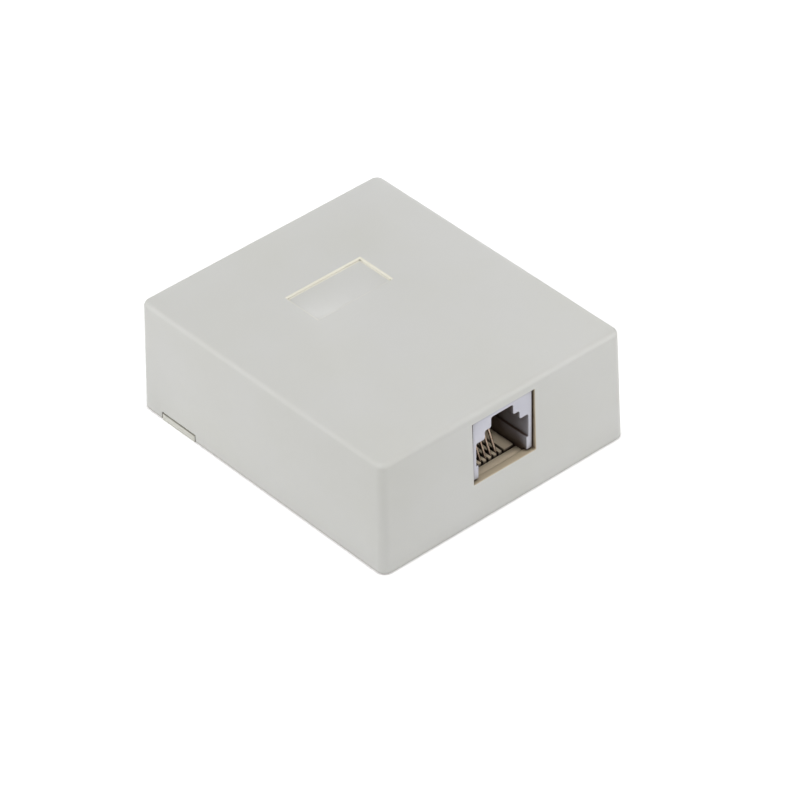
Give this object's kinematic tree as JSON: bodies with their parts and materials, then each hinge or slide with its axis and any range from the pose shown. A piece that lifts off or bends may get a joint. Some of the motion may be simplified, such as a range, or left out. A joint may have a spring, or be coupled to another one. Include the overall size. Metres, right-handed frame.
{
  "type": "surface mount telephone jack box",
  "caption": "Low drafted box for wall mounting with a modular telephone socket in one face, screw terminals inside and a cover that is prised up at one end.",
  "frame": {"origin": "centre of the underside, in the plane where the base plate rests on the wall", "axes": "+X to the right along the face with the socket, +Y to the back, away from the socket, +Z out of the wall"},
  "size_m": [0.048, 0.055, 0.02],
  "materials": {
    "cover_ivory": "satin moulded ABS, pale ivory grey",
    "base_ivory": "satin moulded ABS, a little warmer ivory",
    "jack_white": "cool white moulded nylon",
    "carrier_ivory": "ivory beige moulded nylon",
    "contact_gold": "gold plated phosphor bronze",
    "lead_black": "PVC insulation",
    "lead_red": "PVC insulation",
    "lead_green": "PVC insulation",
    "lead_yellow": "PVC insulation",
    "tinned_brass": "tin plated brass sheet",
    "brass": "plain brass",
    "zinc_steel": "zinc plated steel"
  },
  "bodies": {
    "base": {"base_plate": "base_ivory", "jack_housing": "jack_white", "contact_carrier": "carrier_ivory", "contact_wire_1": "contact_gold", "lead_1": "lead_black", "spade_lug_1": "tinned_brass", "terminal_nut_1": "brass", "terminal_washer_1": "zinc_steel", "terminal_screw_1": "zinc_steel", "contact_wire_2": "contact_gold", "lead_2": "lead_red", "spade_lug_2": "tinned_brass", "terminal_nut_2": "brass", "terminal_washer_2": "zinc_steel", "terminal_screw_2": "zinc_steel", "contact_wire_3": "contact_gold", "lead_3": "lead_green", "spade_lug_3": "tinned_brass", "terminal_nut_3": "brass", "terminal_washer_3": "zinc_steel", "terminal_screw_3": "zinc_steel", "contact_wire_4": "contact_gold", "lead_4": "lead_yellow", "spade_lug_4": "tinned_brass", "terminal_nut_4": "brass", "terminal_washer_4": "zinc_steel", "terminal_screw_4": "zinc_steel"},
    "cover": {"cover": "cover_ivory"}
  },
  "joints": [
    {"name": "cover_tilt", "type": "hinge", "parent": "base", "child": "cover", "pos_m": [0, -0.0275, 0.00015], "axis": [1, 0, 0], "range_deg": [0, 80]}
  ]
}
